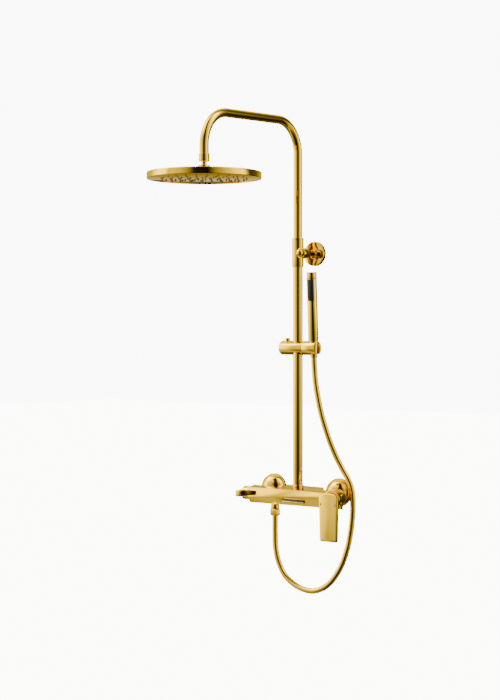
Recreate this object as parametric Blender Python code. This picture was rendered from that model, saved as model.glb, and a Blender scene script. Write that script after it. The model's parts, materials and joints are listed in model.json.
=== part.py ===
"""Gold rainfall shower column: mixer with waterfall spout, telescopic riser, overhead rose
and hand shower on a sliding holder.

Metres, +Z up, wall plane at Y = 0, the user stands at -Y. The origin is on the wall plane,
midway between the two water inlets. Lengths below are written in millimetres times MM.
"""
import math

import bmesh
import bpy
from mathutils import Matrix, Vector

MM = 0.001
GAP = 0.35 * MM                 # running gap between pieces that touch

# Riser and arm
RISER_Y = -38 * MM              # riser axis, in front of the wall
LOWER_OD = 22.6 * MM
LOWER_ID = 21.0 * MM
UPPER_OD = 20.2 * MM
UPPER_ID = 17.8 * MM
LOWER_BOTTOM = -10 * MM
LOWER_TOP = 553 * MM
UPPER_BOTTOM = 262 * MM
ARM_REACH = 336 * MM            # riser axis to rose axis
ARM_HEIGHT = 857 * MM           # where the arm's line crosses the riser axis
ARM_DROOP = math.radians(1.5)
REAR_BEND_R = 73 * MM
FRONT_BEND_R = 78 * MM
ARM_END_Z = 748.5 * MM

# Coupling and wall bracket
COUPLING_OD = 27 * MM
COUPLING_Z = (520.5 * MM, 587.5 * MM)
BRACKET_X = 25 * MM
BRACKET_Z = 551 * MM
BOSS_OD = 24 * MM
BOSS_Y = (-61 * MM, -42.5 * MM)
ROD_OD = 18 * MM
FLANGE_OD = 57 * MM
FLANGE_T = 10.5 * MM

# Mixer
INLET_X = 94 * MM               # each inlet, from the middle
BODY_X = (-134 * MM, 137 * MM)
BODY_FRONT = -58 * MM
LOBE_BACK = -14 * MM            # rear edge between the covers
SCOOP_BACK = -38 * MM           # rear edge in front of the covers
CORNER_BACK = -31 * MM          # rear edge at the diverter end
TOP_SLOPE = 0.16                # the top face rises towards the wall
RING_OD = 65 * MM
RING_T = 8.5 * MM
DOME_OD = 62 * MM
DOME_LENGTH = 25 * MM
SLOT_SIZE = (62 * MM, 9 * MM)
SLOT_Z = -21.5 * MM
OUTLET_X = -63 * MM
OUTLET_Y = -43 * MM
BODY_BOTTOM = -34 * MM
HOSE_NUT_Z = (-61.5 * MM, -46 * MM)

# Lever and diverter
LEVER_X = 118 * MM
LEVER_AXIS_Z = -8 * MM
HOUSING_OD = 41 * MM            # round housing that holds the mixing cartridge
HOUSING_Y = (-70 * MM, -42 * MM)
UNION_DROP = 11 * MM            # the eccentric unions step down from wall to mixer
KNOB_Y = -44 * MM
KNOB_Z = -14 * MM

# Rose
ROSE_OD = 248 * MM
ROSE_Z = (699 * MM, 714 * MM)
BALL_Z = 741 * MM
BALL_R = 8 * MM
NOZZLE_RINGS = ((30, 8), (60, 14), (90, 20))    # radius in mm, count

# Slider, holder and hand shower
SLIDER_Z = 332 * MM
SLIDER_OD = 33 * MM
CLAMP_X = (-45 * MM, 20 * MM)
HOLDER_X = (20.4 * MM, 56.5 * MM)
STICK_X = 45.5 * MM
STICK_OD = 23.6 * MM
STICK_TILT = math.radians(2.8)
STICK_Z = (349.5 * MM, 491 * MM)
STICK_TOP = 507.5 * MM
HOSE_OD = 13.6 * MM

# Points the free hose passes, from the outlet nut to the hand shower's cone, in mm
HOSE_ROUTE = (
    (-63, -43, -62), (-63, -43, -80), (-63, -43, -100), (-61.5, -43, -135), (-53, -42, -171),
    (-32, -40, -204), (4, -37, -225), (44, -33, -229), (81, -28, -210), (109, -22, -171),
    (124, -17, -129), (131, -13, -92), (135, -11, -55), (136.5, -11, -24), (134.5, -11.5, 5),
    (125, -12.5, 31), (109, -15, 57), (92, -20, 90), (75, -27, 137), (61, -33, 190),
    (50.5, -36, 246), (46.3, -35.7, 282), (45.5, -37, 310.2),
)

COLOURS = {
    "polished_gold": ((0.86, 0.62, 0.22, 1), 0.10, 1.0),
    "gold_hose": ((0.83, 0.59, 0.20, 1), 0.16, 1.0),
    "black_rubber": ((0.02, 0.02, 0.02, 1), 0.55, 0.0),
    "seal_rubber": ((0.03, 0.03, 0.03, 1), 0.6, 0.0),
    "nozzle_silicone": ((0.55, 0.50, 0.40, 1), 0.5, 0.0),
    "white_polymer": ((0.85, 0.85, 0.82, 1), 0.4, 0.0),
    "raw_brass": ((0.72, 0.52, 0.22, 1), 0.35, 1.0),
    "stainless": ((0.7, 0.7, 0.7, 1), 0.3, 1.0),
    "hot_red": ((0.65, 0.03, 0.02, 1), 0.35, 0.0),
    "cold_blue": ((0.03, 0.12, 0.6, 1), 0.35, 0.0),
}


def clear_scene():
    for item in list(bpy.data.objects):
        bpy.data.objects.remove(item, do_unlink=True)


def finish_material(name):
    mat = bpy.data.materials.get(name)
    if mat:
        return mat
    mat = bpy.data.materials.new(name)
    mat.use_nodes = True
    shader = mat.node_tree.nodes["Principled BSDF"]
    colour, roughness, metallic = COLOURS[name]
    shader.inputs["Base Color"].default_value = colour
    shader.inputs["Roughness"].default_value = roughness
    shader.inputs["Metallic"].default_value = metallic
    return mat


def make_object(name, bm, finish, place=None, parent=None, smooth=True):
    """Turn a bmesh into a named object; place is a matrix or a point."""
    bmesh.ops.recalc_face_normals(bm, faces=bm.faces)
    mesh = bpy.data.meshes.new(name)
    bm.to_mesh(mesh)
    bm.free()
    if smooth:
        mesh.shade_smooth()
        mesh.set_sharp_from_angle(angle=math.radians(35))
    obj = bpy.data.objects.new(name, mesh)
    bpy.context.collection.objects.link(obj)
    if finish:
        mesh.materials.append(finish_material(finish))
    if place is not None:
        obj.matrix_world = place if isinstance(place, Matrix) else Matrix.Translation(Vector(place))
    if parent:
        hold_under(obj, parent)
    return obj


def hold_under(obj, parent):
    """Parent an object and keep it where it stands."""
    bpy.context.view_layer.update()
    obj.parent = parent
    obj.matrix_parent_inverse = parent.matrix_world.inverted()


def make_empty(name, point, turn=0.0):
    """An empty on a joint's axis; turn tilts it about X."""
    empty = bpy.data.objects.new(name, None)
    bpy.context.collection.objects.link(empty)
    empty.matrix_world = Matrix.Translation(Vector(point)) @ Matrix.Rotation(turn, 4, "X")
    bpy.context.view_layer.update()
    return empty


def along_y(point):
    """Stand a turned piece's +Z along -Y, away from the wall."""
    return Matrix.Translation(Vector(point)) @ Matrix.Rotation(math.radians(90), 4, "X")


def along_x(point):
    """Lay a turned piece's +Z along +X."""
    return Matrix.Translation(Vector(point)) @ Matrix.Rotation(math.radians(90), 4, "Y")


def turned(profile, sides=16, closed=False):
    """Spin (radius, height) points about Z; closed joins the last point to the first."""
    bm = bmesh.new()
    rings = []
    for radius, height in profile:
        if radius < 1e-7:
            rings.append([bm.verts.new((0, 0, height))])
        else:
            step = 2 * math.pi / sides
            rings.append([bm.verts.new((radius * math.cos(i * step), radius * math.sin(i * step), height))
                          for i in range(sides)])
    pairs = list(zip(rings, rings[1:]))
    if closed:
        pairs.append((rings[-1], rings[0]))
    for low, high in pairs:
        if len(low) > 1 or len(high) > 1:
            join_rings(bm, low, high)
    if not closed:
        for ring in (rings[0], rings[-1]):
            if len(ring) > 1:
                bm.faces.new(ring)
    return bm


def join_rings(bm, low, high):
    count = max(len(low), len(high))
    for i in range(count):
        j = (i + 1) % count
        if len(low) == 1:
            bm.faces.new((low[0], high[i], high[j]))
        elif len(high) == 1:
            bm.faces.new((low[i], low[j], high[0]))
        else:
            bm.faces.new((low[i], low[j], high[j], high[i]))


def pipe_profile(outer, inner, low, high, chamfer=0.4 * MM):
    """A ring-shaped section; a chamfer breaks its outer corners."""
    if not chamfer:
        return [(inner, low), (outer, low), (outer, high), (inner, high)]
    return [(inner, low), (outer - chamfer, low), (outer, low + chamfer),
            (outer, high - chamfer), (outer - chamfer, high), (inner, high)]


def pipe(name, outer, inner, low, high, finish, place=None, parent=None, sides=14):
    chamfer = 0.4 * MM if finish == "polished_gold" and high - low < 20 * MM else 0
    bm = turned(pipe_profile(outer, inner, low, high, chamfer), sides, closed=True)
    return make_object(name, bm, finish, place, parent)


def block(size, centre, bevel=0.0):
    bm = bmesh.new()
    bmesh.ops.create_cube(bm, size=1.0)
    bmesh.ops.scale(bm, vec=Vector(size), verts=bm.verts)
    bmesh.ops.translate(bm, vec=Vector(centre), verts=bm.verts)
    if bevel:
        bmesh.ops.bevel(bm, geom=list(bm.edges), offset=bevel, segments=2, affect="EDGES", profile=0.5)
    return bm


def boolean(obj, tool, operation="DIFFERENCE"):
    tool.hide_render = True
    tool.display_type = "WIRE"
    mod = obj.modifiers.new(tool.name, "BOOLEAN")
    mod.operation = operation
    mod.solver = "EXACT"
    mod.object = tool


def drill(obj, name, radius, start, direction, length, sides=14):
    """Cut a round hole from start along direction."""
    bm = turned([(radius, 0), (radius, length)], sides)
    turn = Vector((0, 0, 1)).rotation_difference(Vector(direction)).to_matrix().to_4x4()
    tool = make_object(name, bm, None, Matrix.Translation(Vector(start)) @ turn)
    boolean(obj, tool)
    return tool


def arc_points(centre, radius, start, end, steps):
    """Points on an arc in the plane of (y, z); angles in degrees."""
    return [(centre[0] + radius * math.cos(math.radians(start + (end - start) * i / steps)),
             centre[1] + radius * math.sin(math.radians(start + (end - start) * i / steps)))
            for i in range(steps + 1)]


# ---------------------------------------------------------------- mixer body

def body_back(x):
    """Rear edge of the mixer: a lobe in the middle, scooped clear of each cover."""
    reach = abs(x) - INLET_X
    scoop_r = DOME_OD / 2 + 5 * MM
    if reach < -scoop_r:
        return LOBE_BACK
    if reach < 0:
        arc = math.sqrt(scoop_r ** 2 - reach ** 2) / scoop_r
        return LOBE_BACK + (SCOOP_BACK - LOBE_BACK) * arc
    if x < 0:
        return SCOOP_BACK + (CORNER_BACK - SCOOP_BACK) * min((reach / (24 * MM)) ** 2, 1)
    return min(SCOOP_BACK, BODY_FRONT + (BODY_X[1] - x) * 1.4 + 9 * MM)


def body_section(x):
    """Outline in (y, z) at one place along the mixer, from the upper front edge round to the rear."""
    top_front = (1 + 2 * (1 - (x / BODY_X[1]) ** 2)) * MM
    crease = -12.2 * MM + 0.0646 * x
    back = body_back(x)
    top_back = top_front + (back - BODY_FRONT) * TOP_SLOPE
    low = BODY_BOTTOM + 0.012 * x
    inset = min(9 * MM, (back - BODY_FRONT) * 0.45)
    return [(BODY_FRONT, top_front), (BODY_FRONT - 0.4 * MM, crease), (BODY_FRONT + inset, low),
            (back - (back - BODY_FRONT) * 0.25, low - 0.3 * MM), (back - 0.8 * MM, low + 9 * MM),
            (back, top_back - 3 * MM), (back - 0.9 * MM, top_back)]


def build_mixer_body():
    stations = [BODY_X[0], -112 * MM, -94 * MM, -76 * MM, -63 * MM, -58.2 * MM, -57 * MM, 0,
                57 * MM, 58.2 * MM, 63 * MM, 76 * MM, 94 * MM, 124 * MM, BODY_X[1]]
    bm = bmesh.new()
    rings = [[bm.verts.new((x, y, z)) for y, z in body_section(x)] for x in stations]
    for low, high in zip(rings, rings[1:]):
        join_rings(bm, low, high)
    for ring in (rings[0], rings[-1]):
        bm.faces.new(ring)
    bmesh.ops.triangulate(bm, faces=bm.faces)
    body = make_object("mixer_body", bm, "polished_gold")

    drum = [(HOUSING_OD / 2, 0), (HOUSING_OD / 2, HOUSING_Y[1] - HOUSING_Y[0])]
    housing = make_object("cartridge_housing", turned(drum, 24), None,
                          along_y((LEVER_X, HOUSING_Y[1], LEVER_AXIS_Z)))
    boolean(body, housing, "UNION")
    drill(body, "cut_cartridge_bore", 13.4 * MM, (LEVER_X, HOUSING_Y[0] - 2 * MM, LEVER_AXIS_Z), (0, 1, 0),
          25 * MM)
    drill(body, "cut_diverter_bore", 9 * MM, (BODY_X[0] - 5 * MM, KNOB_Y, KNOB_Z), (1, 0, 0), 35 * MM)
    drill(body, "cut_gallery", 5 * MM, (-105 * MM, KNOB_Y, KNOB_Z), (1, 0, 0), 215 * MM, 12)
    for side, label in ((-1, "left"), (1, "right")):
        drill(body, "cut_inlet_" + label, 10.6 * MM, (side * INLET_X, -30 * MM, -UNION_DROP), (0, -1, 0),
              19 * MM)
    drill(body, "cut_riser_socket", LOWER_OD / 2 + GAP, (0, RISER_Y, LOWER_BOTTOM - GAP), (0, 0, 1), 60 * MM)
    drill(body, "cut_collar_seat", 12.95 * MM, (0, RISER_Y, 6.5 * MM), (0, 0, 1), 20 * MM)
    drill(body, "cut_outlet", 8 * MM, (OUTLET_X, OUTLET_Y, BODY_BOTTOM - 12 * MM), (0, 0, 1), 30 * MM, 16)
    slot = make_object("cut_waterfall", block((SLOT_SIZE[0], 26 * MM, SLOT_SIZE[1]),
                                              (0, BODY_FRONT + 8 * MM, SLOT_Z)), None)
    boolean(body, slot)
    return body


def build_waterfall_lip():
    """A thin sleeve lining the slot, with a lower lip that carries the sheet of water out."""
    width, height = SLOT_SIZE[0] - 2 * GAP, SLOT_SIZE[1] - 2 * GAP
    wall = 1.6 * MM
    back = BODY_FRONT + 17 * MM
    front = BODY_FRONT
    depth = back - front
    middle = (0, (front + back) / 2, SLOT_Z)
    sleeve = make_object("waterfall_lip", block((width, depth, height), middle), "polished_gold",
                         smooth=False)
    channel = make_object("cut_channel", block((width - 2 * wall, depth + 4 * MM, height - 2 * wall),
                                               middle), None)
    boolean(sleeve, channel)
    brow = make_object("cut_brow", block((width + 4 * MM, 6 * MM, height),
                                         (0, front + 0.5 * MM, SLOT_Z + wall)), None)
    boolean(sleeve, brow)
    return sleeve


def build_mixer_inside():
    nut_back = HOUSING_Y[0] + 8 * MM
    pipe("cartridge_nut", 13 * MM, 8.3 * MM, 0, 5 * MM, "raw_brass",
         along_y((LEVER_X, nut_back, LEVER_AXIS_Z)))
    shell = [(0, 0), (12.9 * MM, 0), (12.9 * MM, 14 * MM), (7.9 * MM, 14 * MM), (7.9 * MM, 18.6 * MM),
             (6.8 * MM, 18.6 * MM), (6.8 * MM, 12.6 * MM), (5.7 * MM, 12.6 * MM), (5.7 * MM, 4 * MM),
             (0, 4 * MM)]
    make_object("mixing_cartridge", turned(shell, 12), "white_polymer",
                along_y((LEVER_X, nut_back + 14.6 * MM, LEVER_AXIS_Z)))
    body_end = BODY_X[0] + 29 * MM
    shell = [(0, 0), (8.7 * MM, 0), (8.7 * MM, 27 * MM), (5.6 * MM, 27 * MM), (5.6 * MM, 8 * MM), (0, 8 * MM)]
    place = along_x((body_end, KNOB_Y, KNOB_Z)) @ Matrix.Rotation(math.pi, 4, "X")
    make_object("diverter_cartridge", turned(shell, 12), "white_polymer", place)
    pipe("riser_collar", 12.6 * MM, LOWER_OD / 2 + GAP, 0, 7 * MM, "polished_gold",
         (0, RISER_Y, 6.9 * MM), sides=20)


def build_inlet(side, label):
    x = side * INLET_X
    pipe(label + "_wall_ring", RING_OD / 2, 13 * MM, 0, RING_T, "polished_gold", along_y((x, 0, 0)), sides=24)
    start = RING_T + GAP
    wall = 1.6 * MM
    quarter = arc_points((0, 0), 1.0, 0, 90, 4)[:-1] + [(0, 1)]
    profile = [(DOME_OD / 2 * c, start + DOME_LENGTH * s) for c, s in quarter]
    inner = [((DOME_OD / 2 - wall) * c, start + (DOME_LENGTH - wall) * s) for c, s in quarter]
    dome = make_object(label + "_cover_dome", turned(profile + inner[::-1], 24, closed=True),
                       "polished_gold", along_y((x, 0, 0)))
    drill(dome, "cut_dome_" + label, 11.2 * MM, (x, -20 * MM, -UNION_DROP), (0, -1, 0), 20 * MM)
    union = make_object(label + "_union", turned(pipe_profile(10.2 * MM, 7 * MM, 0, 15 * MM, 0), 14,
                                                 closed=True),
                        "raw_brass", along_y((x, 0, 0)))
    crank = make_object("crank_" + label, block((25 * MM, 6 * MM, 36 * MM), (x, -12 * MM, -UNION_DROP / 2)),
                        None)
    boolean(union, crank, "UNION")
    leg = make_object("leg_" + label, turned([(10.2 * MM, 0), (10.2 * MM, 33 * MM)], 14), None,
                      along_y((x, -12 * MM, -UNION_DROP)))
    boolean(union, leg, "UNION")
    drill(union, "cut_leg_" + label, 7 * MM, (x, -12 * MM, -UNION_DROP), (0, -1, 0), 40 * MM)
    drill(union, "cut_tail_" + label, 7 * MM, (x, 4 * MM, 0), (0, -1, 0), 16.4 * MM)
    pipe(label + "_inlet_washer", 10.2 * MM, 6.5 * MM, 0, 2 * MM, "seal_rubber",
         along_y((x, -45.4 * MM, -UNION_DROP)))


# ---------------------------------------------------------------- riser, coupling and bracket

def build_riser():
    pipe("lower_riser_tube", LOWER_OD / 2, LOWER_ID / 2, LOWER_BOTTOM, LOWER_TOP, "polished_gold",
         (0, RISER_Y, 0), sides=20)
    outer = COUPLING_OD / 2
    low, high = COUPLING_Z
    step = LOWER_TOP + GAP
    wide, narrow = LOWER_OD / 2 + GAP, UPPER_OD / 2 + GAP
    profile = [(wide, low), (outer - 0.8 * MM, low), (outer, low + 0.8 * MM), (outer, high - 0.8 * MM),
               (outer - 0.8 * MM, high), (narrow + 1.2 * MM, high), (narrow + 1.2 * MM, high - 4 * MM),
               (narrow, high - 4 * MM), (narrow, step), (wide, step)]
    coupling = make_object("riser_coupling", turned(profile, 20, closed=True), "polished_gold",
                           (0, RISER_Y, 0))
    web = make_object("bracket_web", block((9 * MM, 13 * MM, 15 * MM), (15 * MM, -49.5 * MM, BRACKET_Z)),
                      None)
    boolean(coupling, web, "UNION")
    boss = make_object("bracket_boss", turned([(BOSS_OD / 2, 0), (BOSS_OD / 2, BOSS_Y[1] - BOSS_Y[0])], 20),
                       None,
                       along_y((BRACKET_X, BOSS_Y[1], BRACKET_Z)))
    boolean(coupling, boss, "UNION")
    drill(coupling, "cut_riser_bore", wide, (0, RISER_Y, low - 5 * MM), (0, 0, 1), step - low + 5 * MM, 20)
    drill(coupling, "cut_rod_bore", 6.4 * MM, (BRACKET_X, BOSS_Y[1] + 5 * MM, BRACKET_Z), (0, -1, 0), 40 * MM)
    pipe("coupling_seal", narrow + 0.9 * MM, UPPER_OD / 2 + 0.3 * MM, high - 3.6 * MM, high - 0.6 * MM,
         "seal_rubber", (0, RISER_Y, 0), sides=20)


def build_bracket():
    """Wall flange, rod through the boss, dark washer behind it and a domed cap in front."""
    rod = [(0, 9.2 * MM), (10.5 * MM, 9.2 * MM), (10.5 * MM, FLANGE_T + 2 * MM), (7 * MM, 24 * MM),
           (7.6 * MM, 34 * MM),
           (7.6 * MM, 36.8 * MM), (6 * MM, 36.8 * MM), (6 * MM, 66 * MM), (0, 66 * MM)]
    make_object("wall_rod", turned(rod, 18), "polished_gold", along_y((BRACKET_X, 0, BRACKET_Z)))
    pipe("rod_washer", 10.6 * MM, 6.3 * MM, 37.2 * MM, 42.1 * MM, "seal_rubber",
         along_y((BRACKET_X, 0, BRACKET_Z)), sides=18)
    dome = [(ROD_OD / 2 * c, 65.5 * MM + 7.5 * MM * s) for c, s in arc_points((0, 0), 1.0, 0, 90, 4)]
    dome[-1] = (0, dome[-1][1])
    cap = [(6.3 * MM, 61.4 * MM), (8.6 * MM, 61.4 * MM), (ROD_OD / 2, 61.8 * MM)] + dome + \
          [(0, 66.4 * MM), (6.3 * MM, 66.4 * MM)]
    make_object("rod_cap", turned(cap, 18, closed=True), "polished_gold", along_y((BRACKET_X, 0, BRACKET_Z)))
    flange_r = FLANGE_OD / 2
    flange = [(11 * MM, 0), (flange_r, 0), (flange_r, FLANGE_T - 1.5 * MM), (flange_r - 1.5 * MM, FLANGE_T),
              (11 * MM, FLANGE_T)]
    make_object("wall_flange", turned(flange, 28, closed=True), "polished_gold",
                along_y((BRACKET_X, 0, BRACKET_Z)))
    plate = make_object("anchor_plate", turned([(10.6 * MM, 0.5 * MM), (10.6 * MM, 8.8 * MM)], 14),
                        "stainless",
                        along_y((BRACKET_X, 0, BRACKET_Z)))
    drill(plate, "cut_anchor", 3 * MM, (BRACKET_X, 5 * MM, BRACKET_Z), (0, -1, 0), 20 * MM, 16)


# ---------------------------------------------------------------- arm and rose

def arm_centreline():
    """Straight riser, large bend, slightly drooping arm, smaller bend, short drop."""
    slope = math.tan(ARM_DROOP)
    front_z = ARM_HEIGHT - ARM_REACH * slope
    points = [(RISER_Y, UPPER_BOTTOM), (RISER_Y, COUPLING_Z[1])]
    rear_turn = 90 + math.degrees(ARM_DROOP)
    tangent = REAR_BEND_R * math.tan(math.radians(rear_turn / 2))
    points += arc_points((RISER_Y - REAR_BEND_R, ARM_HEIGHT - tangent), REAR_BEND_R, 0, rear_turn, 6)
    front_turn = 90 - math.degrees(ARM_DROOP)
    tangent = FRONT_BEND_R * math.tan(math.radians(front_turn / 2))
    rose_y = RISER_Y - ARM_REACH
    points += arc_points((rose_y + FRONT_BEND_R, front_z - tangent), FRONT_BEND_R,
                         180 - front_turn, 180, 6)
    points.append((rose_y, ARM_END_Z))
    return points


def swept_pipe(centreline, outer, inner, sides):
    """Sweep a ring section along (y, z) points in the X = 0 plane."""
    bm = bmesh.new()
    loops = {outer: [], inner: []}
    count = len(centreline)
    for i, (y, z) in enumerate(centreline):
        before = centreline[max(i - 1, 0)]
        after = centreline[min(i + 1, count - 1)]
        along = Vector((0, after[0] - before[0], after[1] - before[1])).normalized()
        side = along.cross(Vector((1, 0, 0)))
        for radius, rings in loops.items():
            rings.append([bm.verts.new(Vector((0, y, z)) + radius * (
                math.cos(2 * math.pi * k / sides) * Vector((1, 0, 0))
                + math.sin(2 * math.pi * k / sides) * side)) for k in range(sides)])
    for rings in loops.values():
        for low, high in zip(rings, rings[1:]):
            join_rings(bm, low, high)
    for end in (0, -1):
        join_rings(bm, loops[outer][end], loops[inner][end])
    return bm


def build_arm(axis):
    make_object("upper_arm_tube", swept_pipe(arm_centreline(), UPPER_OD / 2, UPPER_ID / 2, 12),
                "polished_gold", parent=axis)
    rose_y = RISER_Y - ARM_REACH
    pipe("tube_bush", LOWER_ID / 2 - 0.3 * MM, 6 * MM, UPPER_BOTTOM - 12 * MM, UPPER_BOTTOM - GAP,
         "white_polymer", (0, RISER_Y, 0))
    nut = [(UPPER_OD / 2 + GAP, 754 * MM), (11.4 * MM, 754 * MM), (11.8 * MM, 753.6 * MM),
           (11.8 * MM, 738 * MM),
           (11.2 * MM, 737 * MM), (7.4 * MM, 737 * MM), (8.9 * MM, 741 * MM), (8.9 * MM, 748 * MM),
           (UPPER_OD / 2 + GAP, 748 * MM)]
    make_object("rose_nut", turned(nut, 18, closed=True), "polished_gold", (0, rose_y, 0), axis)
    pipe("flow_restrictor", 8.6 * MM, 2.5 * MM, 750 * MM, 753 * MM, "white_polymer", (0, rose_y, 0), axis)


def build_rose(axis):
    rose_y = RISER_Y - ARM_REACH
    centre = (0, rose_y, 0)
    ball = [(BALL_R * math.sin(math.radians(a)), BALL_Z - BALL_R * math.cos(math.radians(a)))
            for a in (25, 51, 77, 103, 129, 155)]
    make_object("rose_ball", turned(ball, 14, closed=True), "stainless", centre, axis)
    neck = [(4.2 * MM, 733.2 * MM), (6.2 * MM, 733.2 * MM), (6.2 * MM, 730 * MM), (13 * MM, 728.6 * MM),
            (14 * MM, 722 * MM), (20 * MM, 715.2 * MM), (20 * MM, ROSE_Z[1] + GAP), (4.2 * MM,
                                                                                     ROSE_Z[1] + GAP)]
    make_object("rose_neck", turned(neck, 20, closed=True), "polished_gold", centre, axis)

    rim, low, high = ROSE_OD / 2, ROSE_Z[0], ROSE_Z[1]
    shell = [(6 * MM, high), (rim - 2.5 * MM, high), (rim - 0.7 * MM, high - 0.7 * MM),
             (rim, high - 2.5 * MM),
             (rim, low + 1.2 * MM), (rim - 1.2 * MM, low), (rim - 3 * MM, low), (rim - 3 * MM,
                                                                                 high - 2.2 * MM),
             (6 * MM, high - 2.2 * MM)]
    make_object("rose_shell", turned(shell, 36, closed=True), "polished_gold", centre, axis)
    disc = turned([(rim - 3.4 * MM, low + 0.6 * MM), (rim - 3.4 * MM, low + 2 * MM)], 36)
    plate = make_object("rose_face_plate", disc, "polished_gold", centre, axis, smooth=False)
    mat_r = rim - 8 * MM
    mat = make_object("nozzle_mat", turned([(mat_r, low + 2.4 * MM), (mat_r, low + 4.6 * MM)], 32),
                      "nozzle_silicone", centre, axis, smooth=False)
    holes, tips = bmesh.new(), bmesh.new()
    for ring, (radius, count) in enumerate(NOZZLE_RINGS):
        for i in range(count):
            turn = 2 * math.pi * (i + 0.5 * (ring % 2)) / count
            spot = Vector((radius * MM * math.cos(turn), radius * MM * math.sin(turn), 0))
            add_peg(holes, spot, 2.2 * MM, 2.2 * MM, low - 2 * MM, low + 3 * MM)
            add_peg(tips, spot, 1.2 * MM, 1.8 * MM, low - 2.2 * MM, low + 3 * MM)
    boolean(plate, make_object("cut_nozzle_holes", holes, None, centre, smooth=False))
    boolean(mat, make_object("nozzle_tips", tips, None, centre, smooth=False), "UNION")


def add_peg(bm, spot, low_r, high_r, low, high, sides=4):
    rings = []
    for radius, height in ((low_r, low), (high_r, high)):
        rings.append([bm.verts.new(spot + Vector((radius * math.cos(2 * math.pi * k / sides),
                                                  radius * math.sin(2 * math.pi * k / sides), height)))
                      for k in range(sides)])
    join_rings(bm, *rings)
    for ring in rings:
        bm.faces.new(ring)


# ---------------------------------------------------------------- lever and diverter

def lever_outline(grow):
    """Outline in (x, z): round-cornered foot, sides that taper down, bowed top."""
    top_half, foot_half = 26 * MM + grow, 23.5 * MM + grow
    top_z, foot_z = -3 * MM + grow, -104 * MM - grow
    foot = [(foot_half - 4 * MM * (1 - math.cos(math.radians(a))),
             foot_z + 4 * MM * (1 - math.sin(math.radians(a))))
            for a in (0, 45, 90)]
    crown = [(top_half * math.cos(math.radians(a)), top_z + 8.5 * MM * math.sin(math.radians(a)))
             for a in (0, 12, 28, 48, 70, 90)]
    half = foot[::-1] + crown
    return half + [(-x, z) for x, z in reversed(half[:-1])]


def build_lever(swing, lift):
    back, front = -75.5 * MM, -84 * MM
    bm = bmesh.new()
    layers = ((back, -1.2 * MM), (back - 1.2 * MM, 0), (front + 2 * MM, 0), (front + 0.6 * MM, -1.2 * MM),
              (front, -4 * MM))
    rings = [[bm.verts.new((x, y, z)) for x, z in lever_outline(grow)] for y, grow in layers]
    for low, high in zip(rings, rings[1:]):
        join_rings(bm, low, high)
    for ring in (rings[0], rings[-1]):
        bm.faces.new(ring)
    lever = make_object("lever_handle", bm, "polished_gold", (LEVER_X, 0, 0), lift)
    hub = make_object("lever_hub", turned([(6 * MM, 0), (6 * MM, 5 * MM)], 12), None,
                      along_y((LEVER_X, -72 * MM, LEVER_AXIS_Z)), lift)
    boolean(lever, hub, "UNION")
    hold_under(drill(lever, "cut_lever_socket", 2.95 * MM, (LEVER_X, -70 * MM, LEVER_AXIS_Z), (0, -1, 0),
                     10 * MM, 12),
               lift)
    make_object("cartridge_stem", turned([(2.6 * MM, 0), (2.6 * MM, 27 * MM)], 12), "stainless",
                along_y((LEVER_X, -52.2 * MM, LEVER_AXIS_Z)), lift)
    pipe("cartridge_turret", 5.3 * MM, 4.3 * MM, 0, 6.5 * MM, "white_polymer",
         along_y((LEVER_X, -52.4 * MM, LEVER_AXIS_Z)), swing, 12)
    for name, offset, finish in (("hot_mark", -20 * MM, "hot_red"), ("cold_mark", 20 * MM, "cold_blue")):
        spot = (LEVER_X + offset, front - 0.55 * MM, -20 * MM)
        make_object(name, block((2.2 * MM, 0.4 * MM, 5.5 * MM), spot), finish, parent=lift, smooth=False)


def build_diverter(axis):
    left = BODY_X[0] - GAP
    flip = Matrix.Rotation(math.pi, 4, "X")
    hub = [(2.6 * MM, 0), (15.4 * MM, 0), (16 * MM, 0.6 * MM), (16 * MM, 17.5 * MM), (14.5 * MM, 19 * MM),
           (6.5 * MM, 19 * MM), (6.5 * MM, 16 * MM), (2.6 * MM, 16 * MM)]
    knob = make_object("diverter_knob", turned(hub, 20, closed=True), "polished_gold",
                       along_x((left, KNOB_Y, KNOB_Z)) @ flip, axis)
    grip = block((15 * MM, 28 * MM, 15 * MM), (left - 10 * MM, KNOB_Y - 26 * MM, KNOB_Z + 1.5 * MM), 2.5 * MM)
    arm = make_object("knob_arm", grip, None, None, axis)
    boolean(knob, arm, "UNION")
    make_object("diverter_spindle", turned([(2.3 * MM, 0), (2.3 * MM, 28 * MM)], 12), "stainless",
                along_x((left + 13 * MM, KNOB_Y, KNOB_Z)) @ flip, axis)
    cap = [(0, 16.3 * MM), (6.2 * MM, 16.3 * MM), (6.2 * MM, 19 * MM), (5.2 * MM, 19.6 * MM), (0, 19.6 * MM)]
    make_object("knob_cap", turned(cap, 14), "polished_gold", along_x((left, KNOB_Y, KNOB_Z)) @ flip, axis)


# ---------------------------------------------------------------- slider, holder and hand shower

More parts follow.
